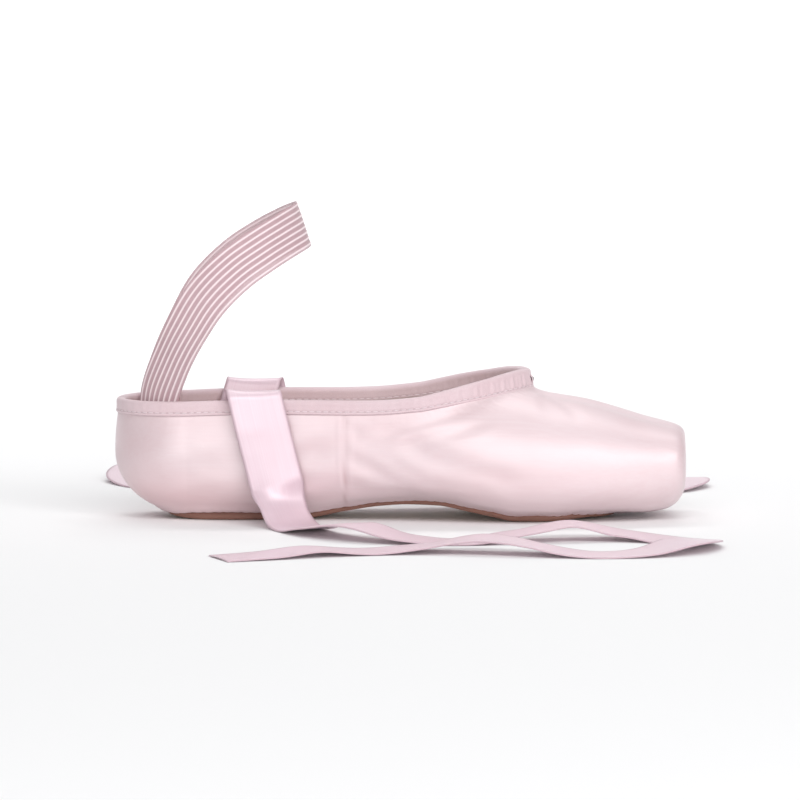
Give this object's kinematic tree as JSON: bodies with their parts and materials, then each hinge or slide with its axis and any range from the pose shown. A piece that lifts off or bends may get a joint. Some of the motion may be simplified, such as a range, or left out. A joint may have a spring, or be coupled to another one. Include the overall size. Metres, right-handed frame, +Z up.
{
  "type": "pointe shoe",
  "caption": "Satin pointe shoe standing on its leather sole, with a stiff toe box, collar binding, ankle elastic and ribbons.",
  "frame": {"origin": "bottom centre of the shoe's box, on the floor under the middle of its length, ribbons left out", "axes": "+X towards the toe, +Z up, the shoe mirrors about Y = 0"},
  "size_m": [0.2585, 0.3423, 0.1302],
  "materials": {
    "satin": "pale pink satin with a soft bright sheen",
    "binding_tape": "matte pink woven tape",
    "sole_leather": "buffed tan leather with a darker cut edge",
    "insole_canvas": "matte off-white lining",
    "ankle_elastic": "ribbed pink elastic",
    "ribbon_satin": "pink satin ribbon with a bright sheen"
  },
  "bodies": {
    "root": {"outsole": "sole_leather", "upper": "satin", "insole": "insole_canvas", "binding": "binding_tape", "elastic_strap": "ankle_elastic", "ribbon_near": "ribbon_satin", "ribbon_far": "ribbon_satin"}
  },
  "joints": []
}
